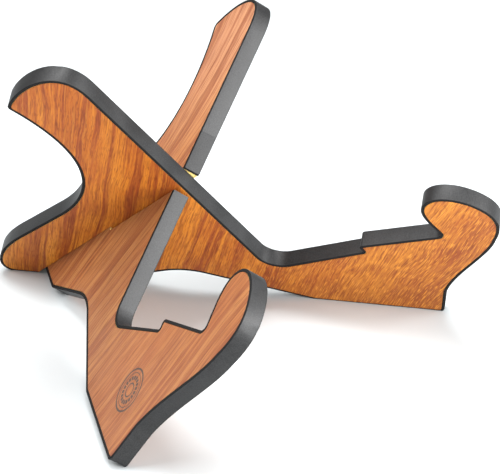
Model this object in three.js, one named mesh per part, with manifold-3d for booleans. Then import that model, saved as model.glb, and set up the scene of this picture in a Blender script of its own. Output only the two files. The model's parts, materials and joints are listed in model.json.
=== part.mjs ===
// Slot-together instrument stand: two flat boards of one outline that cross in an X.
// Each board is a light wood core with a wood-grain veneer on both faces and a dark
// trim glued round its edge. The base board's slot is open at the front, the top
// board's at the rear, and each board sits in the other's slot.
import * as THREE from 'three';
import { mergeVertices } from 'three/addons/utils/BufferGeometryUtils.js';
import Module from 'manifold-3d';

const wasm = await Module();
wasm.setup();

// ---------------------------------------------------------------- driving dimensions
// Lengths in millimetres, angles in degrees. A board's own axes are u, along the slots
// from the rear foot up to the front edge, and v, across them towards the arm.

const BOARD_THICKNESS = 12;
const TRIM_THICKNESS = 2;
const TRIM_ARRIS = 0.7;
const VENEER_THICKNESS = 0.9;
const GLUE_GAP = 0.3;

const LEAN = 46.25; // each board's turn out of the stand's upright middle plane
const SLOT_RISE = 37.75; // the slots' climb from the floor towards the front

const FRONT_EDGE_AT_SLOT = 190; // from the floor corner along the slot to the front edge
const FRONT_EDGE_ANGLE = 66.9;
const SHIN_LENGTH = 108.6; // front edge from the slot down to the ledge
const ARM_LENGTH = 111.5; // front edge from the slot up to the arm's round end
const ARM_WIDTH = 62.3;
const ARM_END_ANGLE = 83.2; // from the front edge round to the corner at the arm's back
const ARM_TOP_ANGLE = 196.9;
const ARM_BACK_ANGLE = -94.6;
const ARM_CURVE_FRONT = 36.5; // how far each curve's handles reach from its two ends
const ARM_CURVE_BACK = 27;

const LEDGE_ANGLE = -21.5;
const LEDGE_DEPTH = 77.2;
const LEDGE_CORNER_RADIUS = 15;
const STEP_HEIGHT = 7.6;
const STEP_FOOT_RADIUS = 1.5;
const NOSE_ROUND = 0.8; // the core's own rounding at the step's nose and the arm's corner
const UPPER_LEDGE_ANGLE = -26.6;
const UPPER_LEDGE_DEPTH = 63.7;
const HOOK_CORNER_RADIUS = 4;
const HOOK_ANGLE = 71.5;
const HOOK_NECK = 14.2;
const HOOK_CROWN_ANGLE = 45;
const HOOK_REACH = 29.7;
const HOOK_SIDE_ANGLE = -12;
const HOOK_WIDTH = 43.4;
const HOOK_THROAT_ANGLE = -127;
const HOOK_THROAT = 37.3;
const HOOK_NECK_CURVE = 14;
const HOOK_CROWN_CURVE_NECK = 10.5;
const HOOK_CROWN_CURVE_SIDE = 11.5;
const HOOK_SIDE_CURVE_CROWN = 17;
const HOOK_SIDE_CURVE_THROAT = 14;

const WAIST_DISTANCE = 33.7; // along the floor to where the rear foot meets the hollow back
const WAIST_HEIGHT = 87.9;
const WAIST_ANGLE = 176.4;
const WAIST_LENGTH = 52.1;
const BACK_CURVE_ARM = 75;
const BACK_CURVE_WAIST = 38;
const HEEL_CURVE_WAIST = 36;
const HEEL_CURVE_FLOOR = 18;
const REAR_FOOT_BACK = -15; // places along the floor, from the slot's line
const REAR_FOOT_FRONT = 48.8;
const REAR_FOOT_RADIUS = 12;
const ARCH_APEX = 113.4;
const ARCH_HEIGHT = 27.5;
const ARCH_RADIUS = 45;
const ARCH_HEEL_RADIUS = 14;
const FRONT_FOOT_REACH = 298;
const FRONT_FOOT_LENGTH = 91.6;
const TOE_RADIUS = 4.5;
const TOE_ANGLE = 35.9;
const TOE_LENGTH = 29;
const FOOT_TOP_ANGLE = 28.4; // the front foot's upper side, leaving the toe and reaching the hook
const FOOT_TOP_CURVE = 27.3;
const FOOT_END_ANGLE = 29.3;
const FOOT_END_CURVE = 22.9;
const THROAT_ANGLE = 23;
const THROAT_CURVE = 16.3;
const SOLE_EASE = 0.9; // height to which the feet's lower arris is eased flat

const SLOT_MEET = 103; // where the two slots end, along them from the floor
const SLOT_END_GAP = 0.3;
const REAR_SLOT_CLEARANCE = 0.4;
const FRONT_SLOT_CLEARANCE_ARM = 0.8;
const FRONT_SLOT_CLEARANCE_FOOT = 2.4;
const TRIM_JOINT = 32; // the base board's front trim joint, across from the slot

const CURVE_STEP = 4.5; // longest chord along a curve
const CURVE_MIN_CHORDS = 4;
const BOARD_REACH = 500; // longer than any board
const SAME_POINT = 1e-3;

// ---------------------------------------------------------------- worked-out values
const HALF = BOARD_THICKNESS / 2;
const INSET = TRIM_THICKNESS + GLUE_GAP;
const CORE_HALF = HALF - VENEER_THICKNESS - GLUE_GAP;
const STEP_NOSE_RADIUS = INSET + NOSE_ROUND;
const ARM_CORNER_SETBACK = INSET + NOSE_ROUND;
const lean = THREE.MathUtils.degToRad(LEAN);
const rise = THREE.MathUtils.degToRad(SLOT_RISE);

// Half the width that one board takes where it passes through the other's square slot.
const crossing = 2 * lean;
const PASS_HALF = HALF * (1 / Math.sin(crossing) + Math.abs(1 / Math.tan(crossing)));

// The floor's line in a board's own plane, for its lower face.
const floorLine = {
  slope: -Math.tan(rise) / Math.cos(lean),
  atSlot: HALF * Math.tan(lean),
};
const FLOOR_ANGLE = THREE.MathUtils.radToDeg(Math.atan(floorLine.slope));

// ---------------------------------------------------------------- the board's outline

/** A unit vector at an angle in degrees from the slot's direction. */
function heading(degrees) {
  const angle = THREE.MathUtils.degToRad(degrees);
  return new THREE.Vector2(Math.cos(angle), Math.sin(angle));
}

/** The point at a distance from a start along a direction. */
function along(start, direction, distance) {
  return start.clone().addScaledVector(direction, distance);
}

/** A point in the board's plane, by its distance along the floor and height above it. */
function overFloor(distance, height) {
  const forward = new THREE.Vector2(1, floorLine.slope).normalize();
  const up = new THREE.Vector2(-forward.y, forward.x);
  return along(along(new THREE.Vector2(0, floorLine.atSlot), forward, distance), up, height);
}

/** A path that starts at a point. */
function startAt(point) {
  const path = new THREE.Path();
  path.moveTo(point.x, point.y);
  return path;
}

/** Draws a straight to the corner and rounds it on the way to the next point. */
function roundCorner(path, corner, next, radius) {
  const into = corner.clone().sub(path.currentPoint).normalize();
  const out = next.clone().sub(corner).normalize();
  const turn = Math.atan2(into.cross(out), into.dot(out));
  const start = along(corner, into, -radius * Math.tan(Math.abs(turn) / 2));
  const side = new THREE.Vector2(-into.y, into.x).multiplyScalar(Math.sign(turn));
  const centre = along(start, side, radius);
  const from = Math.atan2(start.y - centre.y, start.x - centre.x);
  path.lineTo(start.x, start.y);
  path.absarc(centre.x, centre.y, radius, from, from + turn, turn < 0);
}

/** Draws a cubic curve to a point, leaving and arriving along two headings. */
function curveTo(path, leaving, reachA, end, arriving, reachB) {
  const handleA = along(path.currentPoint, heading(leaving), reachA);
  const handleB = along(end, heading(arriving), -reachB);
  path.bezierCurveTo(handleA.x, handleA.y, handleB.x, handleB.y, end.x, end.y);
}

/** The corners of the front edge, the two ledges and the hook. */
function frontCorners() {
  const frontEdge = heading(FRONT_EDGE_ANGLE);
  const atSlot = new THREE.Vector2(FRONT_EDGE_AT_SLOT, 0);
  const armEnd = along(atSlot, frontEdge, ARM_LENGTH);
  const ledgeCorner = along(atSlot, frontEdge, -SHIN_LENGTH);
  const stepFoot = along(ledgeCorner, heading(LEDGE_ANGLE), LEDGE_DEPTH);
  const stepNose = along(stepFoot, heading(LEDGE_ANGLE + 90), STEP_HEIGHT);
  const hookCorner = along(stepNose, heading(UPPER_LEDGE_ANGLE), UPPER_LEDGE_DEPTH);
  const hookNeck = along(hookCorner, heading(HOOK_ANGLE), HOOK_NECK);
  const armCorner = along(armEnd, heading(FRONT_EDGE_ANGLE + ARM_END_ANGLE), ARM_WIDTH);
  return { armEnd, armCorner, ledgeCorner, stepFoot, stepNose, hookCorner, hookNeck };
}

/** The hollow back of the board, from the arm's corner down to the rear foot's waist. */
function backRun({ armCorner }) {
  const path = startAt(along(armCorner, heading(ARM_BACK_ANGLE), ARM_CORNER_SETBACK));
  const waist = overFloor(WAIST_DISTANCE, WAIST_HEIGHT);
  curveTo(path, ARM_BACK_ANGLE, BACK_CURVE_ARM, waist, WAIST_ANGLE, BACK_CURVE_WAIST);
  return path;
}

/** The rear foot's round nose and its sole, as far as the slot's mouth. */
function heelRun(start) {
  const path = startAt(start);
  const top = along(start, heading(WAIST_ANGLE), WAIST_LENGTH);
  path.lineTo(top.x, top.y);
  const heel = overFloor(REAR_FOOT_BACK, 0);
  curveTo(path, WAIST_ANGLE, HEEL_CURVE_WAIST, heel, FLOOR_ANGLE, HEEL_CURVE_FLOOR);
  const mouth = new THREE.Vector2(-floorLine.atSlot / floorLine.slope, 0);
  path.lineTo(mouth.x, mouth.y);
  return path;
}

/** The two soles, the arch between them and the toe. */
function soleRun(start, footTop) {
  const path = startAt(start);
  const heel = overFloor(FRONT_FOOT_REACH - FRONT_FOOT_LENGTH, 0);
  const toe = overFloor(FRONT_FOOT_REACH, 0);
  const arch = overFloor(ARCH_APEX, ARCH_HEIGHT);
  roundCorner(path, overFloor(REAR_FOOT_FRONT, 0), arch, REAR_FOOT_RADIUS);
  roundCorner(path, arch, heel, ARCH_RADIUS);
  roundCorner(path, heel, toe, ARCH_HEEL_RADIUS);
  roundCorner(path, toe, footTop, TOE_RADIUS);
  return path;
}

/** The front foot's upper side and the hook, in to the corner on the upper ledge. */
function hookRun(start, footTop, { hookNeck, hookCorner, stepNose }) {
  const side = along(hookNeck, heading(HOOK_SIDE_ANGLE), HOOK_WIDTH);
  const crown = along(hookNeck, heading(HOOK_CROWN_ANGLE), HOOK_REACH);
  const throat = along(side, heading(HOOK_THROAT_ANGLE), HOOK_THROAT);
  const path = startAt(start);
  path.lineTo(footTop.x, footTop.y);
  curveTo(path, FOOT_TOP_ANGLE, FOOT_TOP_CURVE, throat, FOOT_END_ANGLE, FOOT_END_CURVE);
  curveTo(path, THROAT_ANGLE, THROAT_CURVE, side, 90, HOOK_SIDE_CURVE_THROAT);
  curveTo(path, 90, HOOK_SIDE_CURVE_CROWN, crown, 180, HOOK_CROWN_CURVE_SIDE);
  curveTo(path, 180, HOOK_CROWN_CURVE_NECK, hookNeck, HOOK_ANGLE - 180, HOOK_NECK_CURVE);
  roundCorner(path, hookCorner, stepNose, HOOK_CORNER_RADIUS);
  return path;
}

/** The upper ledge and the step down to the lower one. */
function upperLedgeRun(start, { stepNose, stepFoot, ledgeCorner }) {
  const path = startAt(start);
  roundCorner(path, stepNose, stepFoot, STEP_NOSE_RADIUS);
  roundCorner(path, stepFoot, ledgeCorner, STEP_FOOT_RADIUS);
  return path;
}

/** The lower ledge, the straight front edge and the arm's round end. */
function frontRun(start, { ledgeCorner, armEnd, armCorner }) {
  const path = startAt(start);
  roundCorner(path, ledgeCorner, armEnd, LEDGE_CORNER_RADIUS);
  path.lineTo(armEnd.x, armEnd.y);
  const topEnd = along(armCorner, heading(ARM_TOP_ANGLE), -ARM_CORNER_SETBACK);
  curveTo(path, FRONT_EDGE_ANGLE, ARM_CURVE_FRONT, topEnd, ARM_TOP_ANGLE, ARM_CURVE_BACK);
  const backStart = along(armCorner, heading(ARM_BACK_ANGLE), ARM_CORNER_SETBACK);
  path.quadraticCurveTo(armCorner.x, armCorner.y, backStart.x, backStart.y);
  return path;
}

/** The edge's six runs, anticlockwise, each starting where the one before it ends. */
function edgeRuns() {
  const corners = frontCorners();
  const footTop = along(overFloor(FRONT_FOOT_REACH, 0), heading(TOE_ANGLE), TOE_LENGTH);
  const back = backRun(corners);
  const heel = heelRun(back.currentPoint);
  const sole = soleRun(heel.currentPoint, footTop);
  const hook = hookRun(sole.currentPoint, footTop, corners);
  const upperLedge = upperLedgeRun(hook.currentPoint, corners);
  const front = frontRun(upperLedge.currentPoint, corners);
  return [back, heel, sole, hook, upperLedge, front];
}

/** A run's points without repeats, and without its last, which is the next run's first. */
function runPoints(path) {
  const points = path.curves.flatMap((curve) => {
    const chords = Math.max(CURVE_MIN_CHORDS, Math.ceil(curve.getLength() / CURVE_STEP));
    return curve.getPoints(curve.isLineCurve ? 1 : chords).slice(0, -1);
  });
  return points.filter((point, i) => i === 0 || point.distanceTo(points[i - 1]) > SAME_POINT);
}

/** The outline moved into the board by a distance, corner by corner. */
function insetOutline(distance) {
  return outline.map((point, i) => {
    const before = point.clone().sub(outline.at(i - 1)).normalize();
    const after = outline[(i + 1) % outline.length].clone().sub(point).normalize();
    const inward = new THREE.Vector2(-before.y - after.y, before.x + after.x).normalize();
    const across = inward.dot(new THREE.Vector2(-after.y, after.x));
    return along(point, inward, distance / across);
  });
}

const RUN_NAMES = ['back', 'heel', 'sole', 'hook', 'upper_ledge', 'front'];
const runs = edgeRuns().map(runPoints);
const outline = runs.flat();

// ---------------------------------------------------------------- solids

/** A closed three.js geometry as a manifold solid. */
function toSolid(geometry) {
  geometry.deleteAttribute('normal');
  geometry.deleteAttribute('uv');
  const merged = mergeVertices(geometry, 1e-4);
  return new wasm.Manifold(new wasm.Mesh({
    numProp: 3,
    vertProperties: new Float32Array(merged.attributes.position.array),
    triVerts: new Uint32Array(merged.index.array),
  }));
}

/** A manifold solid as a three.js geometry. */
function toGeometry(solid) {
  const mesh = solid.getMesh();
  const geometry = new THREE.BufferGeometry();
  geometry.setAttribute('position', new THREE.BufferAttribute(new Float32Array(mesh.vertProperties), 3));
  geometry.setIndex(new THREE.BufferAttribute(new Uint32Array(mesh.triVerts), 1));
  geometry.computeVertexNormals();
  return geometry;
}

/** A plate of the board's outline, inset by the trim, between two heights. */
function plateSolid(low, high) {
  const shape = new THREE.Shape(insetOutline(INSET));
  const geometry = new THREE.ExtrudeGeometry(shape, { depth: high - low, bevelEnabled: false });
  geometry.translate(0, 0, low);
  return toSolid(geometry);
}

/** The trim's section, as pairs of depth into the board and height across its edge. */
const TRIM_SECTION = [
  [TRIM_THICKNESS, -HALF],
  [TRIM_ARRIS, -HALF],
  [0, -HALF + TRIM_ARRIS],
  [0, HALF - TRIM_ARRIS],
  [TRIM_ARRIS, HALF],
  [TRIM_THICKNESS, HALF],
];

/** The trim's section carried along one run of the outline, with an end gap at both joints. */
function trimSolid(run) {
  const first = runs.slice(0, run).flat().length;
  const count = runs[run].length + 1;
  const rows = TRIM_SECTION.map(([depth, height]) => {
    const inset = insetOutline(depth);
    const line = Array.from({ length: count }, (_, i) => inset[(first + i) % inset.length]);
    const start = line[0].clone().sub(line[1]).setLength(-GLUE_GAP / 2);
    const end = line.at(-1).clone().sub(line.at(-2)).setLength(-GLUE_GAP / 2);
    line[0].add(start);
    line.at(-1).add(end);
    return line.map((point) => [point.x, point.y, height]);
  });
  const at = (row, i) => (row % rows.length) * count + i;
  const index = [];
  for (let row = 0; row < rows.length; row += 1) {
    for (let i = 0; i + 1 < count; i += 1) {
      index.push(at(row, i), at(row, i + 1), at(row + 1, i + 1));
      index.push(at(row, i), at(row + 1, i + 1), at(row + 1, i));
    }
  }
  for (let row = 1; row + 1 < rows.length; row += 1) {
    index.push(at(0, 0), at(row, 0), at(row + 1, 0));
    index.push(at(0, count - 1), at(row + 1, count - 1), at(row, count - 1));
  }
  const geometry = new THREE.BufferGeometry();
  geometry.setAttribute('position', new THREE.Float32BufferAttribute(rows.flat(2), 3));
  geometry.setIndex(index);
  return toSolid(geometry);
}

/** A square-walled cutter between two places along u and two across v. */
function cutter(fromU, toU, fromV, toV) {
  const geometry = new THREE.BoxGeometry(toU - fromU, toV - fromV, BOARD_THICKNESS * 2);
  geometry.translate((fromU + toU) / 2, (fromV + toV) / 2, 0);
  return toSolid(geometry);
}

/** The base board's slot, open at its front edge. */
function frontSlot() {
  const low = -PASS_HALF - FRONT_SLOT_CLEARANCE_FOOT;
  const high = PASS_HALF + FRONT_SLOT_CLEARANCE_ARM;
  return cutter(SLOT_MEET - SLOT_END_GAP, BOARD_REACH, low, high);
}

/** The top board's slot, open at its rear foot's sole. */
function rearSlot() {
  const half = PASS_HALF + REAR_SLOT_CLEARANCE;
  return cutter(-BOARD_REACH, SLOT_MEET, -half, half);
}

/** What lies under the eased soles, in a board's own axes. */
function underSoles(placement) {
  const geometry = new THREE.BoxGeometry(4 * BOARD_REACH, 4 * BOARD_REACH, BOARD_REACH);
  geometry.translate(0, 0, SOLE_EASE - BOARD_REACH / 2);
  geometry.applyMatrix4(placement.clone().invert());
  return toSolid(geometry);
}

// ---------------------------------------------------------------- materials and meshes

const finishes = {
  core: { color: 0xe6c473, roughness: 0.7, metalness: 0 },
  topVeneer: { color: 0xcf7f38, roughness: 0.45, metalness: 0 },
  baseVeneer: { color: 0xc98055, roughness: 0.45, metalness: 0 },
  trim: { color: 0x3c3c3c, roughness: 0.5, metalness: 0 },
};

/** A named mesh of a solid in one of the stand's finishes. */
function part(name, solid, finish) {
  const mesh = new THREE.Mesh(toGeometry(solid), new THREE.MeshStandardMaterial(finishes[finish]));
  mesh.name = name;
  return mesh;
}

/** A board's placement: u up along the slot, v out to the arm's side, w out of its left face. */
function boardPlacement(armSide) {
  const u = new THREE.Vector3(0, -Math.cos(rise), Math.sin(rise));
  const upright = new THREE.Vector3(0, Math.sin(rise), Math.cos(rise));
  const v = upright.multiplyScalar(Math.cos(lean)).add(new THREE.Vector3(armSide * Math.sin(lean), 0, 0));
  const w = new THREE.Vector3().crossVectors(u, v);
  return new THREE.Matrix4().makeBasis(u, v, w);
}

/** The core and the two veneers of a board, cut by its slot. */
function laminate(board, slot, finish) {
  const core = plateSolid(-CORE_HALF, CORE_HALF);
  const left = plateSolid(HALF - VENEER_THICKNESS, HALF);
  const right = plateSolid(-HALF, -HALF + VENEER_THICKNESS);
  return [
    part(`${board}_core`, core.subtract(slot), 'core'),
    part(`${board}_left_veneer`, left.subtract(slot), finish),
    part(`${board}_right_veneer`, right.subtract(slot), finish),
  ];
}

/** One strip of trim for each named run, cut by the slot and eased under the soles. */
function trims(board, names, cut) {
  return names.map((name, run) => part(`${board}_${name}_trim`, trimSolid(run).subtract(cut), 'trim'));
}

/** The base board's front trim, which its slot and a joint part into three. */
function baseFrontTrims(slot) {
  const front = trimSolid(runs.length - 1).subtract(slot);
  const between = (low, high) => front.intersect(cutter(0, BOARD_REACH, low, high));
  return [
    part('base_board_arm_trim', between(TRIM_JOINT + GLUE_GAP, BOARD_REACH), 'trim'),
    part('base_board_closing_trim', between(0, TRIM_JOINT), 'trim'),
    part('base_board_shin_trim', between(-BOARD_REACH, 0), 'trim'),
  ];
}

/** The board that carries the other: its slot is open at the front. */
function baseBoard() {
  const placement = boardPlacement(1);
  const group = new THREE.Group();
  group.setRotationFromMatrix(placement);
  group.add(
    ...laminate('base_board', frontSlot(), 'baseVeneer'),
    ...trims('base_board', RUN_NAMES.slice(0, -1), underSoles(placement)),
    ...baseFrontTrims(frontSlot()),
  );
  return group;
}

/** The board that slides down over the base board: its slot is open at the rear. */
function topBoard() {
  const placement = boardPlacement(-1);
  const group = new THREE.Group();
  group.setRotationFromMatrix(placement);
  group.add(
    ...laminate('top_board', rearSlot(), 'topVeneer'),
    ...trims('top_board', RUN_NAMES, underSoles(placement).add(rearSlot())),
  );
  return group;
}

/** Both boards, stood on the floor with the origin under the middle of the stand. */
function instrumentStand() {
  const boards = new THREE.Group();
  boards.add(baseBoard(), topBoard());
  const box = new THREE.Box3().setFromObject(boards, true);
  const middle = box.getCenter(new THREE.Vector3());
  boards.position.set(-middle.x, -middle.y, -box.min.z);
  const stand = new THREE.Group();
  stand.add(boards);
  return stand;
}

export default instrumentStand();
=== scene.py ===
"""Slot-together instrument stand: the finished look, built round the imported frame.

Two flat boards of one outline cross in an X. Each has a pale wood core, a wood-grain
veneer on both faces and dark trim round its edge. Every piece is rebuilt here as a
fine mesh from the line its frame node follows, and rides on that node's board.
"""

import json
import logging
import math
from dataclasses import dataclass, field
from enum import Enum

import bpy
import numpy as np
from mathutils import Matrix, Vector


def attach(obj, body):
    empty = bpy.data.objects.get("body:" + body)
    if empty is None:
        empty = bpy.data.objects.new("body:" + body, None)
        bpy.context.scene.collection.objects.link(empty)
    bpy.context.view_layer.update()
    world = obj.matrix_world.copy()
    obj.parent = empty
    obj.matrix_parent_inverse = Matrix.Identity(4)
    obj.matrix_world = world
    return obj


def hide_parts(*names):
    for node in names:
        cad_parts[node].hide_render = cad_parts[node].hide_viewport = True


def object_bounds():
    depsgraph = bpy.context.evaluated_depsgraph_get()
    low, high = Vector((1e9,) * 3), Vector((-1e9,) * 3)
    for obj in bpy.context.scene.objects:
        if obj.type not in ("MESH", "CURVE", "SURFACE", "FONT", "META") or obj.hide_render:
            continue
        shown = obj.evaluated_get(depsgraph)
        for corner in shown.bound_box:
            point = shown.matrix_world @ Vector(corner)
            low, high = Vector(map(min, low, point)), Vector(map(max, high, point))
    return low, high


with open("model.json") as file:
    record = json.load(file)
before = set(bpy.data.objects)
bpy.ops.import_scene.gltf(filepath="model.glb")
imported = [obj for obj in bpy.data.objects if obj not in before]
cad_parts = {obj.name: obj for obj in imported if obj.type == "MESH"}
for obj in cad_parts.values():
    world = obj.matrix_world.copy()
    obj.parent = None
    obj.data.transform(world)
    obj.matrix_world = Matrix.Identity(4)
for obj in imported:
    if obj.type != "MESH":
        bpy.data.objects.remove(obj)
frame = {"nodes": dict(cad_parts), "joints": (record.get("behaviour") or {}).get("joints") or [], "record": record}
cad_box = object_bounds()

log = logging.getLogger("instrument_stand")

Colour = tuple[float, float, float]
MILLIMETRE = 0.001
WELD_REACH = 5e-6  # Corners of a node this near each other, in metres, are one.
ROW_REACH = 2e-5  # How far a corner may be from the height of the row it lies on.
SHARP_TURN = math.radians(34)  # A line that turns further than this has a corner there.
CREASE_ANGLE = math.radians(50)  # Faces that meet at more than this keep a sharp edge.


class Board(Enum):
    """The two boards, by the name of the body that each one is."""

    BASE = "base_board"
    TOP = "top_board"


# ------------------------------------------------------------------ reading the frame


def corner_places(node: str) -> np.ndarray:
    """The corners of a frame node's triangles.

    Args:
        node: The node's name.

    Returns:
        An array of triangles by three corners by three coordinates, in metres.
    """
    mesh = frame["nodes"][node].data
    mesh.calc_loop_triangles()
    places = np.empty(len(mesh.vertices) * 3)
    mesh.vertices.foreach_get("co", places)
    triangles = np.empty(len(mesh.loop_triangles) * 3, dtype=np.int64)
    mesh.loop_triangles.foreach_get("vertices", triangles)
    return places.reshape(-1, 3)[triangles].reshape(-1, 3, 3)


def chain(pairs: np.ndarray) -> tuple[list[int], bool]:
    """Orders joined pairs into one line.

    Args:
        pairs: The pairs of neighbours, one to a row.

    Returns:
        The members in order, and whether the line closes on itself.
    """
    neighbours: dict[int, list[int]] = {}
    for first, second in pairs.tolist():
        neighbours.setdefault(first, []).append(second)
        neighbours.setdefault(second, []).append(first)
    ends = [member for member, near in neighbours.items() if len(near) == 1]
    order = [min(ends) if ends else min(neighbours)]
    while True:
        onward = [near for near in neighbours[order[-1]] if near not in order[-2:]]
        if not onward or onward[0] == order[0]:
            return order, not ends
        order.append(onward[0])


@dataclass(frozen=True)
class BoardPlane:
    """A board's own axes: u up along the slots, v across to the arm, w out of its left face.

    The origin is where the line in which the boards cross meets the floor.
    """

    origin: np.ndarray
    axes: np.ndarray

    def flatten(self, places: np.ndarray) -> np.ndarray:
        """Places in the frame as (u, v, w)."""
        return (places - self.origin) @ self.axes.T

    def raise_up(self, places: np.ndarray) -> np.ndarray:
        """Places as (u, v, w) back in the frame."""
        return places @ self.axes + self.origin


def face_normal(board: Board) -> tuple[np.ndarray, float]:
    """A board's middle plane.

    Args:
        board: The board.

    Returns:
        The unit normal out of its left face, and the plane's distance along it.
    """
    left, right = (corner_places(f"{board.value}_{side}_veneer").reshape(-1, 3) for side in ("left", "right"))
    normal = (left.min(0) + left.max(0)) - (right.min(0) + right.max(0))
    normal /= np.linalg.norm(normal)
    return normal, float((left @ normal).max() + (right @ normal).min()) / 2


def board_planes() -> dict[Board, BoardPlane]:
    """The two boards' planes, which share the line in which they cross.

    Returns:
        Each board's plane.
    """
    upward = np.array(frame["joints"][0]["axis"], dtype=float)
    upward /= np.linalg.norm(upward)
    normals = {board: face_normal(board) for board in Board}
    rows = [normals[Board.BASE][0], normals[Board.TOP][0], np.array([0.0, 0.0, 1.0])]
    origin = np.linalg.solve(rows, [normals[Board.BASE][1], normals[Board.TOP][1], 0.0])
    planes = {}
    for board, (normal, _) in normals.items():
        across = np.cross(normal, upward)
        planes[board] = BoardPlane(origin, np.array([upward, across, normal]))
    return planes


# ------------------------------------------------------------------ lines in a board's plane


def norm(vectors: np.ndarray) -> np.ndarray:
    """The length of each vector."""
    return np.linalg.norm(vectors, axis=1)


@dataclass
class FacetRow:
    """A faceted line's corners in order. Its chords up to longest_chord stand for curves."""

    corners: np.ndarray
    closed: bool
    longest_chord: float

    def __post_init__(self) -> None:
        """Works out the chords, and the chord before and after each corner."""
        numbers = np.arange(len(self.corners))
        self.ends = np.roll(self.corners, -1, axis=0)
        spans = (self.ends - self.corners)[: len(numbers) if self.closed else -1]
        self.lengths = norm(spans)
        self.units = spans / self.lengths[:, None]
        self.straight = self.lengths > self.longest_chord
        self.before = numbers - 1 if self.closed else np.maximum(numbers - 1, 0)
        self.onward = np.minimum(numbers, len(spans) - 1)

    def turns(self) -> np.ndarray:
        """The smooth line's heading at each corner.

        Between two short chords it is that of the circle through three neighbours, which
        is the mean of the chords' directions, each weighted by the other's length. At the
        end of a straight it is the straight's own.

        Returns:
            The unit headings.
        """
        before, onward = self.before, self.onward
        weight = self.lengths[:, None]
        turn = self.units[before] * weight[onward] + self.units[onward] * weight[before]
        turn = np.where(self.straight[before][:, None], self.units[before], turn)
        turn = np.where(self.straight[onward][:, None], self.units[onward], turn)
        return turn / norm(turn)[:, None]

    def sharp(self) -> np.ndarray:
        """Which corners stay sharp: those between two straights and those that turn far."""
        bend = (self.units[self.before] * self.units[self.onward]).sum(1)
        return (bend < math.cos(SHARP_TURN)) | (self.straight[self.before] & self.straight[self.onward])

    def headings(self) -> tuple[np.ndarray, np.ndarray]:
        """How the smooth line leaves and reaches each corner.

        At an open row's end on a curve, the heading is the next corner's, mirrored in the
        chord between them.

        Returns:
            The unit headings on leaving, and those on arriving.
        """
        turn = self.turns()
        sharp = self.sharp()[:, None]
        leaving = np.where(sharp, self.units[self.onward], turn)
        arriving = np.where(sharp, self.units[self.before], turn)
        for end, near in () if self.closed else ((0, 1), (-1, -2)):
            if not self.straight[end]:
                chord = self.units[end]
                leaving[end] = arriving[end] = 2 * (chord @ turn[near]) * chord - turn[near]
        return leaving, arriving


@dataclass
class EdgeLine:
    """A line in a board's plane, in metres, with the direction it runs in at each point."""

    points: np.ndarray
    headings: np.ndarray
    closed: bool

    @classmethod
    def through(cls, row: FacetRow, step: float) -> "EdgeLine":
        """Draws a smooth line through a faceted one.

        A straight stays one. Each chord of a curve becomes the cubic that runs from its
        first corner and heading to its second, drawn in pieces no longer than the step.

        Args:
            row: The faceted line.
            step: The finished line's spacing.

        Returns:
            The smooth line.
        """
        leaving, arriving = row.headings()
        pieces = np.where(row.straight, 1, np.ceil(row.lengths / step)).astype(int)
        owner = np.repeat(np.arange(len(pieces)), pieces)
        place = np.arange(len(owner)) - np.repeat(np.cumsum(pieces) - pieces, pieces)
        t = (place / pieces[owner])[:, None]
        size = row.lengths[owner][:, None]
        low, high = row.corners[owner], row.ends[owner]
        start, end = leaving[owner], np.roll(arriving, -1, axis=0)[owner]
        points = (
            (2 * t**3 - 3 * t**2 + 1) * low
            + (t**3 - 2 * t**2 + t) * size * start
            + (3 * t**2 - 2 * t**3) * high
            + (t**3 - t**2) * size * end
        )
        headings = (
            (6 * t**2 - 6 * t) * (low - high) / size
            + (3 * t**2 - 4 * t + 1) * start
            + (3 * t**2 - 2 * t) * end
        )
        bisector = row.units[row.before[owner]] + row.units[row.onward[owner]]
        headings = np.where(((place == 0) & row.sharp()[owner])[:, None], bisector, headings)
        if not row.closed:
            points = np.vstack([points, row.corners[-1]])
            headings = np.vstack([headings, arriving[-1]])
        return cls(points, headings / norm(headings)[:, None], row.closed)

    def inward(self) -> np.ndarray:
        """Steps of unit depth to the line's left, lengthened where the line has a corner.

        A step is the normal to the heading over the part of it that is square to the next
        chord, which is held above a half.

        Returns:
            The step at each point.
        """
        normal = np.stack([-self.headings[:, 1], self.headings[:, 0]], axis=1)
        span = np.roll(self.points, -1, axis=0) - self.points
        if not self.closed:
            span[-1] = span[-2]
        unit = span / norm(span)[:, None]
        across = normal[:, 1] * unit[:, 0] - normal[:, 0] * unit[:, 1]
        return normal / np.maximum(across, 0.5)[:, None]


def trim_line(node: str, plane: BoardPlane, arris: float) -> tuple[np.ndarray, bool]:
    """The line that a trim strip follows, read off the row of corners along its upper arris.

    Args:
        node: The strip's frame node.
        plane: Its board's plane.
        arris: The width of the strip's cut arris.

    Returns:
        The line's corners as (u, v), and False, as a strip has two ends.
    """
    corners = plane.flatten(corner_places(node))
    upper = math.copysign(1.0, plane.axes[2, 2])
    height = np.abs(corners[..., 2]).max() - arris
    return join_row(corners, np.abs(corners[..., 2] * upper - height) < ROW_REACH)


def plate_line(node: str, plane: BoardPlane) -> tuple[np.ndarray, bool]:
    """The outline of a plate's left face.

    Args:
        node: The plate's frame node.
        plane: Its board's plane.

    Returns:
        The outline's corners as (u, v), and True, as it closes.
    """
    corners = plane.flatten(corner_places(node))
    return join_row(corners, corners[..., 2].max() - corners[..., 2] < ROW_REACH)


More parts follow.
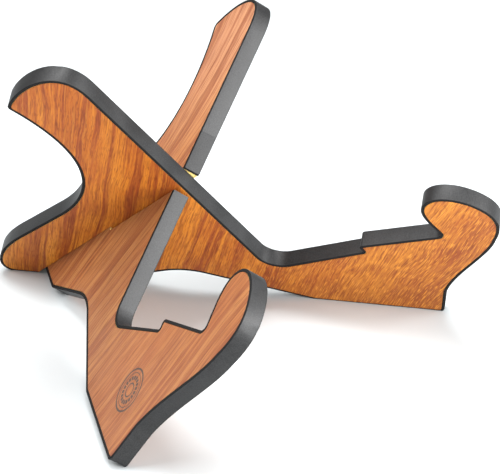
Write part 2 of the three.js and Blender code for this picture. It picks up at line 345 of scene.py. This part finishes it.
def join_row(corners: np.ndarray, on_row: np.ndarray) -> tuple[np.ndarray, bool]:
    """Orders the triangle edges along a row, leaving out those inside a face that lies on it.

    Args:
        corners: Triangles by three corners by (u, v, w).
        on_row: Which corners lie on the row.

    Returns:
        The row's corners in order, and whether the row closes on itself.
    """
    flat = corners[..., :2].reshape(-1, 2)
    keys = np.round(flat / WELD_REACH).astype(np.int64)
    _, first, owner = np.unique(keys, axis=0, return_index=True, return_inverse=True)
    owner = owner.reshape(-1, 3)
    edges = np.sort(np.stack([owner, np.roll(owner, -1, axis=1)], axis=2), axis=2)
    lies = on_row & np.roll(on_row, -1, axis=1)
    in_face = np.broadcast_to(on_row.all(axis=1)[:, None], lies.shape)
    edges, number = np.unique(edges[lies], axis=0, return_inverse=True)
    faces_at = np.bincount(number.ravel(), weights=in_face[lies])
    border = edges[(faces_at < 2) & (edges[:, 0] != edges[:, 1])]
    order, closed = chain(border)
    return flat[first][order], closed


# ------------------------------------------------------------------ meshes


def make_mesh(name: str, places: np.ndarray, faces: list[np.ndarray]) -> bpy.types.Object:
    """Puts a surface into the scene, smooth except at its sharp edges.

    The whole surface is turned over where its signed volume is negative. Faces that are
    wound against each other are not put right here.

    Args:
        name: The piece's name.
        places: The corners, in metres in the frame.
        faces: The faces, as arrays of corner numbers.

    Returns:
        The new object.
    """
    mesh = bpy.data.meshes.new(name)
    mesh.from_pydata(places, [], [face.tolist() for face in faces])
    mesh.update()
    mesh.calc_loop_triangles()
    triangles = np.empty(len(mesh.loop_triangles) * 3, dtype=np.int64)
    mesh.loop_triangles.foreach_get("vertices", triangles)
    corners = places[triangles].reshape(-1, 3, 3) - places.mean(0)
    if np.einsum("ij,ij->i", corners[:, 0], np.cross(corners[:, 1], corners[:, 2])).sum() < 0:
        mesh.flip_normals()
    mesh.polygons.foreach_set("use_smooth", np.ones(len(mesh.polygons), dtype=bool))
    mesh.set_sharp_from_angle(angle=CREASE_ANGLE)
    mesh.validate()
    piece = bpy.data.objects.new(name, mesh)
    bpy.context.scene.collection.objects.link(piece)
    return piece


def carry(line: EdgeLine, inward: np.ndarray, profile: np.ndarray) -> np.ndarray:
    """Carries a profile along a line in the board's plane.

    The point for place i on the line and point j of the profile is the line's place
    plus the profile's depth along the inward step there, at the profile's height.

    Args:
        line: The line.
        inward: The step of unit depth at each of the line's points.
        profile: Points of depth into the board and height across it.

    Returns:
        An array of line places by profile points by (u, v, w).
    """
    flat = line.points[:, None, :] + profile[None, :, :1] * inward[:, None, :]
    height = np.broadcast_to(profile[None, :, 1:], (*flat.shape[:2], 1))
    return np.concatenate([flat, height], axis=2)


def grid_faces(rows: int, columns: int, rows_close: bool, columns_close: bool) -> list[np.ndarray]:
    """The four-cornered faces of a grid of rows by columns.

    Args:
        rows: How many rows there are.
        columns: How many columns there are.
        rows_close: Whether the last row joins the first.
        columns_close: Whether the last column joins the first.

    Returns:
        The faces.
    """
    i, j = np.meshgrid(
        np.arange(rows if rows_close else rows - 1),
        np.arange(columns if columns_close else columns - 1),
        indexing="ij",
    )
    i, j = i.ravel(), j.ravel()
    below, beside = (i + 1) % rows, (j + 1) % columns
    faces = [i * columns + j, below * columns + j, below * columns + beside, i * columns + beside]
    return list(np.stack(faces, axis=1))


def quarter_round(radius: float, steps: int) -> np.ndarray:
    """A quarter circle from (radius, 0) to (0, radius), hollow side towards (radius, radius)."""
    angle = np.linspace(-math.pi / 2, -math.pi, steps + 1)
    return radius * (1 + np.stack([np.cos(angle), np.sin(angle)], axis=1))


# ------------------------------------------------------------------ shader expressions


class Value:
    """A number in a shader, on which Python's operators add Math nodes."""

    def __init__(self, graph: "Graph", socket: bpy.types.NodeSocket) -> None:
        """Keeps the graph and the output socket that holds the number."""
        self.graph = graph
        self.socket = socket

    def math(self, operation: str, *others: "Value | float") -> "Value":
        """A Math node of an operation on this value and others."""
        inputs = dict(enumerate((self, *others)))
        return self.graph.number("ShaderNodeMath", {"operation": operation}, inputs)

    def __add__(self, other: "Value | float") -> "Value":
        """This value plus another."""
        return self.math("ADD", other)

    __radd__ = __add__

    def __sub__(self, other: "Value | float") -> "Value":
        """This value less another."""
        return self.math("SUBTRACT", other)

    def __rsub__(self, other: float) -> "Value":
        """A number less this value."""
        return self.graph.number("ShaderNodeMath", {"operation": "SUBTRACT"}, {0: other, 1: self})

    def __mul__(self, other: "Value | float") -> "Value":
        """This value times another."""
        return self.math("MULTIPLY", other)

    __rmul__ = __mul__

    def __truediv__(self, other: "Value | float") -> "Value":
        """This value over another."""
        return self.math("DIVIDE", other)

    def above(self, low: float, high: float) -> "Value":
        """A soft step from 0 to 1, which falls where low is the higher number.

        Args:
            low: The value at which the step starts.
            high: The value at which it ends.

        Returns:
            The step.
        """
        settings = {"interpolation_type": "SMOOTHSTEP"}
        inputs = {"Value": self, "From Min": low, "From Max": high, "To Min": 0.0, "To Max": 1.0}
        return self.graph.number("ShaderNodeMapRange", settings, inputs)


class Graph:
    """A material's nodes, added one call at a time."""

    def __init__(self, name: str) -> None:
        """Makes a material that holds only its output and a Principled shader.

        Args:
            name: The material's name.
        """
        self.material = bpy.data.materials.new(name)
        self.material.use_nodes = True
        self.nodes = self.material.node_tree.nodes
        self.links = self.material.node_tree.links
        self.nodes.clear()
        output = self.nodes.new("ShaderNodeOutputMaterial")
        self.shader = self.nodes.new("ShaderNodeBsdfPrincipled")
        self.links.new(self.shader.outputs["BSDF"], output.inputs["Surface"])

    def node(self, kind: str, settings: dict, inputs: dict) -> bpy.types.Node:
        """Adds a node.

        Args:
            kind: The node's type.
            settings: Its own settings, which are set first.
            inputs: Values or links for its sockets, by name or number.

        Returns:
            The node.
        """
        node = self.nodes.new(kind)
        for name, value in settings.items():
            setattr(node, name, value)
        for name, value in inputs.items():
            self.feed(node.inputs[name], value)
        return node

    def feed(self, socket: bpy.types.NodeSocket, value: object) -> None:
        """Links a socket to a value or another socket, or sets it to a constant.

        Args:
            socket: The input socket.
            value: What it gets. A tuple is a colour where the socket takes one.
        """
        if isinstance(value, Value):
            self.links.new(value.socket, socket)
        elif isinstance(value, bpy.types.NodeSocket):
            self.links.new(value, socket)
        elif isinstance(value, tuple) and socket.type == "RGBA":
            socket.default_value = (*value, 1.0)
        else:
            socket.default_value = value

    def number(self, kind: str, settings: dict, inputs: dict, output: int | str = 0) -> Value:
        """Adds a node and gives one of its outputs as a number."""
        return Value(self, self.node(kind, settings, inputs).outputs[output])

    def place(self) -> bpy.types.NodeSocket:
        """The shaded point in the frame, in metres."""
        return self.node("ShaderNodeTexCoord", {}, {}).outputs["Object"]

    def along(self, place: bpy.types.NodeSocket, axis: np.ndarray, origin: np.ndarray) -> Value:
        """How far a place is along an axis from an origin.

        Args:
            place: The place in the frame, in metres.
            axis: The axis, of unit length.
            origin: The origin in the frame, in metres.

        Returns:
            The distance in millimetres.
        """
        scaled = tuple(float(part) / MILLIMETRE for part in axis)
        settings = {"operation": "DOT_PRODUCT"}
        dot = self.number("ShaderNodeVectorMath", settings, {0: place, 1: scaled}, "Value")
        return dot - float(origin @ axis) / MILLIMETRE

    def vector(self, x: "Value | float", y: "Value | float", z: "Value | float") -> bpy.types.NodeSocket:
        """Three numbers as a vector."""
        return self.node("ShaderNodeCombineXYZ", {}, {0: x, 1: y, 2: z}).outputs[0]

    def noise(self, vector: bpy.types.NodeSocket, detail: float = 2.0, roughness: float = 0.5) -> Value:
        """Smooth noise, mostly between 0.3 and 0.7, at a vector."""
        inputs = {"Vector": vector, "Scale": 1.0, "Detail": detail, "Roughness": roughness}
        return self.number("ShaderNodeTexNoise", {"noise_dimensions": "3D"}, inputs)

    def mix(self, factor: Value, first: object, second: object) -> bpy.types.NodeSocket:
        """Mixes two colours.

        Args:
            factor: The second colour's share.
            first: The first colour, as a socket or three numbers.
            second: The second colour.

        Returns:
            The mixed colour.
        """
        inputs = {"Factor": factor, 6: first, 7: second}
        return self.node("ShaderNodeMix", {"data_type": "RGBA"}, inputs).outputs[2]

    def bump(self, height: Value, distance: float, strength: float) -> None:
        """Raises the surface by a height, for the shader's normal."""
        inputs = {"Height": height, "Distance": distance, "Strength": strength}
        self.feed(self.shader.inputs["Normal"], self.node("ShaderNodeBump", {}, inputs).outputs[0])


# ------------------------------------------------------------------ finishes


@dataclass(frozen=True)
class WoodFinish:
    """Lacquered or raw wood, with its grain laid straight across a board's plane.

    The grain runs at an angle from the slots, and may bend on the arm's side, where the
    place across the grain is moved by the square of the distance from the slots. Layers
    of stretched noise, from broad tones to pores, each tint it in turn. Towards the foot
    the wood is darkened as painted shade, by a darker colour mixed in and by dark mottle
    that grows there. Widths and lengths are in millimetres.
    """

    name: str
    pale: Colour
    ground: Colour
    streak: Colour
    pore: Colour
    gleam: Colour
    grain_angle: float
    arm_bend: float = 0.0
    fan: float = 0.0
    tone: float = 0.8
    tone_size: tuple[float, float] = (16.0, 170.0)
    bands: float = 0.8
    band_size: tuple[float, float] = (6.0, 150.0)
    band_edges: tuple[float, float] = (0.49, 0.6)
    band_fade: tuple[float, float] = (-400.0, -300.0)
    lines: float = 0.6
    line_size: tuple[float, float] = (1.5, 70.0)
    mottle: float = 0.3
    mottle_size: tuple[float, float] = (20.0, 34.0)
    fibre: float = 0.4
    fibre_size: tuple[float, float] = (0.75, 20.0)
    pores: float = 0.4
    pore_size: tuple[float, float] = (0.5, 6.0)
    flecks: float = 0.0
    fleck_size: tuple[float, float] = (0.6, 9.0)
    arm_wash: float = 0.0
    arm_tint: Colour = (1.0, 1.0, 1.0)
    arm_fade: tuple[float, float] = (0.0, 110.0)
    # Painted shade towards the foot: its share, its colour and the span of v over which it comes in.
    foot_painted_shade: float = 0.0
    foot_shade_colour: Colour = (1.0, 1.0, 1.0)
    foot_shade_fade: tuple[float, float] = (-60.0, -230.0)
    # Where dark mottle grows as painted shade, and pale flecks of figure gather, towards the foot.
    foot_shade_and_figure_fade: tuple[float, float] = (20.0, -180.0)
    roughness: float = 0.45
    specular: float = 0.3
    raw: Colour = (0.88, 0.70, 0.24)
    skin: tuple[float, float] = (5.7, 5.85)
    pore_relief: tuple[float, float] = (0.00012, 0.35)
    seed: float = 0.0

    def material(self, plane: BoardPlane) -> bpy.types.Material:
        """Makes the wood on a board's plane.

        The noise lies mostly between 0.3 and 0.7 about 0.5, so a step between two values
        there keeps the part of a layer that its colour shows in.

        Args:
            plane: The board's plane.

        Returns:
            The material.
        """
        graph = Graph(self.name)
        place = graph.place()
        u, v, w = (graph.along(place, axis, plane.origin) for axis in plane.axes)
        across, along = self.grain(graph, u, v)
        deep = w / 40 + self.seed

        tone = self.layer(graph, across, along, deep, self.tone_size, 1.0)
        band = self.layer(graph, across, along, deep + 7, self.band_size, 2.5)
        line = self.layer(graph, across, along, deep + 13, self.line_size, 1.0)
        fibre = self.layer(graph, across, along, deep + 19, self.fibre_size, 1.5)
        mottle = self.layer(graph, across, along, deep + 23, self.mottle_size, 3.0)
        pore = self.layer(graph, across, along, deep + 29, self.pore_size, 0.0)
        fleck = self.layer(graph, across, along, deep + 37, self.fleck_size, 0.0)

        shown = v.above(*self.band_fade)
        bands = band.above(*self.band_edges) * shown * self.bands
        colour = graph.mix(tone.above(0.38, 0.62) * self.tone, self.pale, self.ground)
        # Towards the foot, dark mottle is laid on as painted shade, and pale flecks of figure gather.
        foot = v.above(*self.foot_shade_and_figure_fade)
        colour = graph.mix(mottle.above(0.5, 0.34) * foot * self.mottle, colour, self.streak)
        colour = graph.mix(mottle.above(0.48, 0.66) * self.mottle, colour, self.pale)
        colour = graph.mix(v.above(*self.arm_fade) * self.arm_wash, colour, self.arm_tint)
        # Painted shade: the colour darkens towards the foot.
        colour = graph.mix(v.above(*self.foot_shade_fade) * self.foot_painted_shade, colour, self.foot_shade_colour)
        colour = graph.mix(bands, colour, self.streak)
        colour = graph.mix(line.above(0.5, 0.64) * self.lines, colour, self.streak)
        colour = graph.mix(line.above(0.44, 0.32) * self.lines * 0.6, colour, self.gleam)
        colour = graph.mix(fibre.above(0.5, 0.66) * self.fibre, colour, self.pore)
        colour = graph.mix(pore.above(0.58, 0.68) * self.pores, colour, self.pore)
        gleams = fleck.above(0.58, 0.7) * (foot * 0.85 + 0.15) * self.flecks
        colour = graph.mix(gleams, colour, self.gleam)
        colour = self.mark(graph, u, v, w, colour)
        colour = graph.mix(w.math("ABSOLUTE").above(*self.skin), self.raw, colour)
        graph.feed(graph.shader.inputs["Base Color"], colour)
        graph.feed(graph.shader.inputs["Roughness"], fibre * 0.2 + (self.roughness - 0.1))
        graph.shader.inputs["Specular IOR Level"].default_value = self.specular
        graph.bump(fibre * 0.6 - pore.above(0.6, 0.7) * 0.6, *self.pore_relief)
        return graph.material

    def grain(self, graph: Graph, u: Value, v: Value) -> tuple[Value, Value]:
        """The places across and along the grain, which wander a little.

        Args:
            graph: The material's nodes.
            u: The place along the slots, in millimetres.
            v: The place across them.

        Returns:
            The place across the grain and the place along it, in millimetres.
        """
        angle = math.radians(self.grain_angle)
        arm = v.math("MAXIMUM", 0.0)
        across = u * math.sin(angle) - v * math.cos(angle) + arm * arm * self.arm_bend
        along = u * math.cos(angle) + v * math.sin(angle)
        across = across + across * along * self.fan
        wander = graph.noise(graph.vector(across / 34, along / 90, self.seed), 1.0)
        ripple = graph.noise(graph.vector(across / 12, along / 24, self.seed + 3), 1.0)
        return across + (wander - 0.5) * 10.0 + (ripple - 0.5) * 0.9, along

    def layer(
        self, graph: Graph, across: Value, along: Value, deep: Value, size: tuple[float, float], detail: float
    ) -> Value:
        """Noise drawn out along the grain.

        Args:
            graph: The material's nodes.
            across: The place across the grain, in millimetres.
            along: The place along it.
            deep: The place through the board, in the noise's own unit.
            size: The noise's width and length.
            detail: How much finer detail it has.

        Returns:
            The noise.
        """
        return graph.noise(graph.vector(across / size[0], along / size[1], deep), detail)

    def mark(
        self, graph: Graph, u: Value, v: Value, w: Value, colour: bpy.types.NodeSocket
    ) -> bpy.types.NodeSocket:
        """Leaves the wood unmarked."""
        return colour


@dataclass(frozen=True)
class MarkedWoodFinish(WoodFinish):
    """Wood with a printed rosette of plain rings on its left face, like a sound hole's."""

    rosette_place: tuple[float, float] = (199.0, -166.0)
    rosette_rings: tuple[tuple[float, float], ...] = ((14.6, 1.3), (11.9, 0.6), (4.6, 1.1))
    rosette_beads: int = 18
    rosette_bead_ring: tuple[float, float] = (8.4, 2.8)
    rosette_ink: Colour = (0.022, 0.026, 0.026)
    rosette_cover: float = 0.9
    rosette_border: float = 0.15

    def mark(
        self, graph: Graph, u: Value, v: Value, w: Value, colour: bpy.types.NodeSocket
    ) -> bpy.types.NodeSocket:
        """Prints the rosette: rings about one centre, and a ring broken into beads.

        Args:
            graph: The material's nodes.
            u: The place along the slots, in millimetres.
            v: The place across them.
            w: The height above the board's middle.
            colour: The wood's colour.

        Returns:
            The wood's colour with the print on it.
        """
        x = u - self.rosette_place[0]
        y = v - self.rosette_place[1]
        radius = (x * x + y * y).math("SQRT")
        turn = y.math("ARCTAN2", x) * (self.rosette_beads / 2)
        ink = self.ring(radius, *self.rosette_bead_ring) * turn.math("SINE").math("ABSOLUTE").above(0.3, 0.5)
        for middle, width in self.rosette_rings:
            ink = ink.math("MAXIMUM", self.ring(radius, middle, width))
        return graph.mix(ink * w.above(0.0, 1.0) * self.rosette_cover, colour, self.rosette_ink)

    def ring(self, radius: Value, middle: float, width: float) -> Value:
        """One ring: 1 within half its width of its middle radius, with soft borders."""
        border = self.rosette_border
        return (radius - middle).math("ABSOLUTE").above(width / 2 + border, width / 2 - border)


@dataclass(frozen=True)
class TrimFinish:
    """Dark satin edge trim with a fine, even grain, cut back to black on a board's faces.

    Sizes and heights are in millimetres.
    """

    name: str
    ground: Colour
    rubbed: Colour
    cut: Colour
    roughness: float = 0.46
    specular: float = 0.24
    cut_height: tuple[float, float] = (5.55, 5.75)
    grain_size: float = 0.7
    cloud_size: float = 22.0
    grain_relief: tuple[float, float] = (0.00015, 0.6)

    def material(self, plane: BoardPlane) -> bpy.types.Material:
        """Makes the trim on a board's plane.

        Args:
            plane: The board's plane.

        Returns:
            The material.
        """
        graph = Graph(self.name)
        place = graph.place()
        u, v, w = (graph.along(place, axis, plane.origin) for axis in plane.axes)
        fine, broad = ([part / size for part in (u, v, w)] for size in (self.grain_size, self.cloud_size))
        grain = graph.noise(graph.vector(*fine), 2.0, 0.7)
        clouds = graph.noise(graph.vector(*broad), 2.0)
        colour = graph.mix((grain * 0.7 + clouds * 0.3).above(0.35, 0.68), self.ground, self.rubbed)
        face = w.math("ABSOLUTE").above(*self.cut_height)
        colour = graph.mix(face, colour, self.cut)
        graph.feed(graph.shader.inputs["Base Color"], colour)
        sheen = clouds * 0.12 + grain * 0.16 + (self.roughness - 0.14)
        graph.feed(graph.shader.inputs["Roughness"], sheen + face * 0.4)
        graph.shader.inputs["Specular IOR Level"].default_value = self.specular
        graph.bump(grain, *self.grain_relief)
        return graph.material


# ------------------------------------------------------------------ the boards


@dataclass
class StandBoard:
    """One board: a core, two veneers and the strips of trim round its edge.

    At a strip's end the frame node's corners are taken from end_depths: deeper than the
    first number times the trim's depth, and nearer than the second.
    """

    board: Board
    plane: BoardPlane
    veneer: WoodFinish
    core: WoodFinish
    trim: TrimFinish
    closing: TrimFinish
    trim_depth: float = 2.0 * MILLIMETRE
    end_depths: tuple[float, float] = (0.9, 2.0)
    joint_reach: float = 0.13 * MILLIMETRE
    arris_cut: float = 0.7 * MILLIMETRE
    arris_radius: float = 0.3 * MILLIMETRE
    arris_steps: int = 5
    veneer_round: float = 0.15 * MILLIMETRE
    veneer_steps: int = 2
    step: float = 1.2 * MILLIMETRE
    longest_chord: float = 6.5 * MILLIMETRE
    side_sample: int = 3
    materials: dict[str, bpy.types.Material] = field(default_factory=dict)

    def build(self) -> list[bpy.types.Object]:
        """Makes the board's pieces.

        Returns:
            The pieces, one for each frame node of the board.
        """
        self.materials = {
            "veneer": self.veneer.material(self.plane),
            "core": self.core.material(self.plane),
            "closing": self.closing.material(self.plane),
            "trim": self.trim.material(self.plane),
        }
        pieces = []
        for node in frame["record"]["behaviour"]["bodies"][self.board.value]:
            finish = next(name for name in self.materials if name in node)
            piece = self.strip(node) if node.endswith("_trim") else self.plate(node)
            pieces.append(self.dress(piece, node, finish))
        return pieces

    def smooth_line(self, corners: np.ndarray, closed: bool) -> EdgeLine:
        """A smooth line through a row's corners."""
        return EdgeLine.through(FacetRow(corners, closed, self.longest_chord), self.step)

    def strip(self, node: str) -> bpy.types.Object:
        """A strip of trim: a flat-backed section with rounded arrises, carried along the edge.

        The section is a rectangle, as deep as the trim and as wide as the board, with a
        quarter circle at both outer corners. Under the soles it is worn flat to the floor.

        Args:
            node: The strip's frame node.

        Returns:
            The strip.
        """
        flat = self.plane.flatten(corner_places(node))
        half = np.abs(flat[..., 2]).max()
        line = self.smooth_line(*trim_line(node, self.plane, self.arris_cut))
        line = self.facing_board(line, flat.reshape(-1, 3)[:, :2])
        corner = quarter_round(self.arris_radius, self.arris_steps)
        low = corner + (0.0, -half)
        high = (corner * (1.0, -1.0) + (0.0, half))[::-1]
        profile = np.vstack([[(self.trim_depth, -half)], low, high, [(self.trim_depth, half)]])
        grid = carry(self.butted(line), self.cut_ends(line, flat.reshape(-1, 3)[:, :2]), profile)
        rows, columns = grid.shape[:2]
        faces = grid_faces(rows, columns, False, True)
        faces.append(np.arange(columns))
        faces.append((rows - 1) * columns + np.arange(columns)[::-1])
        return make_mesh(f"{node}_strip", self.in_box(grid), faces)

    def in_box(self, grid: np.ndarray) -> np.ndarray:
        """A grid's points in the frame, held inside its box, so that soles end at the floor."""
        low, high = np.array(cad_box)
        return np.clip(self.plane.raise_up(grid.reshape(-1, 3)), low, high)

    def facing_board(self, line: EdgeLine, corners: np.ndarray) -> EdgeLine:
        """Turns a line round if the strip's corners lie on its right.

        Args:
            line: The strip's line.
            corners: The frame node's corners as (u, v).

        Returns:
            The line with the board on its left.
        """
        sample = slice(None, None, self.side_sample)
        away = corners[:, None, :] - line.points[None, sample, :]
        nearest = np.linalg.norm(away, axis=2).argmin(1)
        offset = away[np.arange(len(corners)), nearest]
        if (offset * line.inward()[sample][nearest]).sum() > 0:
            return line
        return EdgeLine(line.points[::-1].copy(), -line.headings[::-1], line.closed)

    def cut_ends(self, line: EdgeLine, corners: np.ndarray) -> np.ndarray:
        """Steps of unit depth into the board, which at both ends follow the strip's own cut.

        Args:
            line: The strip's line.
            corners: The frame node's corners as (u, v).

        Returns:
            The step at each of the line's points.
        """
        inward = line.inward()
        deeper, nearer = (share * self.trim_depth for share in self.end_depths)
        for end, outward in ((0, -1.0), (-1, 1.0)):
            offset = corners - line.points[end]
            deep = offset[(offset @ inward[end] > deeper) & (norm(offset) < nearer)]
            inward[end] = deep[(deep @ line.headings[end] * outward).argmax()] / self.trim_depth
        return inward

    def butted(self, line: EdgeLine) -> EdgeLine:
        """Lengthens a line at both ends, to close the glue gap between two strips.

        Args:
            line: The strip's line.

        Returns:
            The longer line.
        """
        points = line.points.copy()
        points[0] -= self.joint_reach * line.headings[0]
        points[-1] += self.joint_reach * line.headings[-1]
        return EdgeLine(points, line.headings, line.closed)

    def plate(self, node: str) -> bpy.types.Object:
        """A flat plate with a slightly rounded rim: rings of its outline, closed by two faces.

        Known fault: the two closing faces are wound inwards, against the rim.

        Args:
            node: The plate's frame node.

        Returns:
            The plate.
        """
        flat = self.plane.flatten(corner_places(node))
        low, high = flat[..., 2].min(), flat[..., 2].max()
        corners, closed = plate_line(node, self.plane)
        turn = np.cross(corners, np.roll(corners, -1, axis=0)).sum()
        line = self.smooth_line(corners if turn > 0 else corners[::-1], closed)
        corner = quarter_round(self.veneer_round, self.veneer_steps)
        profile = np.vstack([corner + (0.0, low), (corner * (1, -1) + (0.0, high))[::-1]])
        grid = carry(line, line.inward(), profile)
        rows, columns = grid.shape[:2]
        faces = grid_faces(rows, columns, True, False)
        faces.append(np.arange(rows) * columns)
        faces.append(np.arange(rows)[::-1] * columns + columns - 1)
        return make_mesh(f"{node}_plate", self.in_box(grid), faces)

    def dress(self, piece: bpy.types.Object, node: str, finish: str) -> bpy.types.Object:
        """Gives a piece its finish and its body, and hides the frame node that it stands for.

        Args:
            piece: The piece.
            node: The frame node.
            finish: The name of one of the board's materials.

        Returns:
            The piece.
        """
        piece.data.materials.append(self.materials[finish])
        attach(piece, self.board.value)
        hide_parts(node)
        log.info("%s: %d faces for %s", piece.name, len(piece.data.polygons), node)
        return piece


# ------------------------------------------------------------------ the studio


@dataclass
class SoftBox:
    """A square studio light that faces a place."""

    name: str
    place: tuple[float, float, float]
    target: tuple[float, float, float]
    width: float
    height: float
    power: float

    def build(self) -> None:
        """Makes the light."""
        light = bpy.data.lights.new(self.name, "AREA")
        light.shape = "RECTANGLE"
        light.size = self.width
        light.size_y = self.height
        light.energy = self.power
        lamp = bpy.data.objects.new(self.name, light)
        lamp.location = self.place
        direction = Vector(self.target) - Vector(self.place)
        lamp.rotation_euler = direction.to_track_quat("-Z", "Y").to_euler()
        bpy.context.scene.collection.objects.link(lamp)


@dataclass
class Studio:
    """A pale floor, a white surround, soft lights and the camera."""

    camera_place: tuple[float, float, float] = (-0.9499, -1.00115, 0.71388)
    camera_forward: tuple[float, float, float] = (0.64409, 0.63892, -0.42063)
    camera_right: tuple[float, float, float] = (0.70425, -0.70995, 0.0)
    lens: float = 162.2
    sensor: float = 36.0
    floor_size: float = 9.0
    floor_shade: Colour = (0.475, 0.50, 0.508)
    floor_wear: float = 0.985
    surround: float = 0.3
    lights: tuple[SoftBox, ...] = (
        SoftBox("overhead_light", (0.1, 0.2, 1.7), (0.0, 0.0, 0.05), 1.1, 1.1, 47.0),
        SoftBox("upper_left_light", (-0.95, 0.55, 1.25), (0.0, 0.0, 0.05), 0.9, 0.9, 24.0),
        SoftBox("fill_light", (-1.5, -0.75, 0.22), (0.0, 0.0, 0.1), 1.0, 0.8, 13.0),
        SoftBox("front_light", (0.2, -1.5, 0.37), (0.0, -0.05, 0.12), 0.9, 0.8, 64.0),
        SoftBox("right_light", (0.85, -0.95, 0.75), (0.0, -0.05, 0.1), 0.7, 0.6, 11.0),
    )

    def build(self) -> None:
        """Makes the floor, the surround, the lights and the camera."""
        self.make_camera()
        self.make_floor()
        self.make_surround()
        for light in self.lights:
            light.build()

    def make_camera(self) -> None:
        """A long lens on the stand from its front left, above it."""
        forward = np.array(self.camera_forward) / np.linalg.norm(self.camera_forward)
        right = np.array(self.camera_right) / np.linalg.norm(self.camera_right)
        upward = np.cross(right, forward)
        data = bpy.data.cameras.new("camera")
        data.lens = self.lens
        data.sensor_width = self.sensor
        data.sensor_fit = "HORIZONTAL"
        camera = bpy.data.objects.new("camera", data)
        turn = Matrix(np.stack([right, upward, -forward], axis=1).tolist()).to_4x4()
        camera.matrix_world = Matrix.Translation(self.camera_place) @ turn
        bpy.context.scene.collection.objects.link(camera)
        bpy.context.scene.camera = camera

    def make_floor(self) -> None:
        """A wide pale floor just under the soles."""
        half = self.floor_size / 2
        corners = np.array([(-half, -half), (half, -half), (half, half), (-half, half)])
        places = np.column_stack([corners, np.full(4, cad_box[0][2])])
        mesh = bpy.data.meshes.new("floor")
        mesh.from_pydata(places, [], [(0, 1, 2, 3)])
        graph = Graph("floor_paper")
        cloud = graph.noise(graph.place(), 2.0)
        worn = tuple(self.floor_wear * part for part in self.floor_shade)
        graph.feed(graph.shader.inputs["Base Color"], graph.mix(cloud, self.floor_shade, worn))
        graph.shader.inputs["Roughness"].default_value = 0.9
        mesh.materials.append(graph.material)
        floor = bpy.data.objects.new("floor", mesh)
        bpy.context.scene.collection.objects.link(floor)

    def make_surround(self) -> None:
        """An even white light from all round."""
        world = bpy.data.worlds.new("surround")
        world.use_nodes = True
        background = world.node_tree.nodes["Background"]
        background.inputs["Color"].default_value = (1.0, 1.0, 1.0, 1.0)
        background.inputs["Strength"].default_value = self.surround
        bpy.context.scene.world = world
        bpy.context.scene.view_settings.view_transform = "Standard"


# ------------------------------------------------------------------ the stand


RAW_WOOD = WoodFinish(
    name="raw_core_wood",
    pale=(0.92, 0.76, 0.28),
    ground=(0.84, 0.63, 0.19),
    streak=(0.60, 0.37, 0.11),
    pore=(0.45, 0.27, 0.09),
    gleam=(0.95, 0.80, 0.34),
    grain_angle=25.0,
    band_size=(3.0, 120.0),
    fibre=0.25,
    pores=0.15,
    roughness=0.7,
    skin=(-1.0, 0.0),
    seed=3.0,
)

TOP_VENEER = WoodFinish(
    name="amber_streaked_veneer",
    pale=(0.56, 0.200, 0.020),
    ground=(0.42, 0.116, 0.012),
    streak=(0.20, 0.032, 0.008),
    pore=(0.12, 0.019, 0.005),
    gleam=(0.66, 0.27, 0.035),
    grain_angle=28.0,
    fan=-0.0006,
    tone_size=(19.0, 260.0),
    bands=0.75,
    band_size=(4.8, 260.0),
    band_edges=(0.47, 0.60),
    band_fade=(-190.0, -40.0),
    lines=0.45,
    line_size=(1.2, 90.0),
    mottle=0.6,
    fibre=0.5,
    pores=0.4,
    flecks=0.6,
    arm_wash=0.6,
    arm_tint=(0.31, 0.072, 0.006),
    # Painted shade towards the foot.
    foot_painted_shade=0.85,
    foot_shade_colour=(0.24, 0.071, 0.013),
    specular=0.2,
    seed=11.0,
)

BASE_VENEER = MarkedWoodFinish(
    name="salmon_straight_veneer",
    pale=(0.37, 0.155, 0.050),
    ground=(0.29, 0.097, 0.030),
    streak=(0.185, 0.048, 0.018),
    pore=(0.12, 0.030, 0.013),
    gleam=(0.38, 0.170, 0.055),
    grain_angle=36.0,
    arm_bend=0.0024,
    tone_size=(13.0, 300.0),
    bands=0.55,
    band_size=(4.2, 320.0),
    lines=0.6,
    line_size=(1.3, 200.0),
    mottle=0.3,
    fibre=0.5,
    pores=0.08,
    arm_wash=0.5,
    arm_tint=(0.50, 0.255, 0.155),
    # Painted shade towards the foot.
    foot_painted_shade=0.6,
    foot_shade_colour=(0.23, 0.080, 0.030),
    specular=0.25,
    seed=5.0,
)

EDGE_TRIM = TrimFinish(
    name="dark_satin_trim",
    ground=(0.009, 0.009, 0.0092),
    rubbed=(0.026, 0.026, 0.0268),
    cut=(0.004, 0.004, 0.004),
)
# The edge trim a little darker and less shiny, for the closing strips, which so read darker than the strips beside
# them.
CLOSING_TRIM = TrimFinish(
    name="darker_closing_trim",
    ground=(0.009, 0.009, 0.0092),
    rubbed=(0.024, 0.024, 0.0248),
    cut=(0.004, 0.004, 0.004),
    specular=0.17,
)


def main() -> None:
    """Builds the studio and both boards."""
    logging.basicConfig(level=logging.INFO, format="%(message)s")
    Studio().build()
    planes = board_planes()
    veneers = {Board.BASE: BASE_VENEER, Board.TOP: TOP_VENEER}
    for board in Board:
        made = StandBoard(board, planes[board], veneers[board], RAW_WOOD, EDGE_TRIM, CLOSING_TRIM).build()
        log.info("%s: %d pieces", board.value, len(made))


if __name__ == "__main__":
    main()
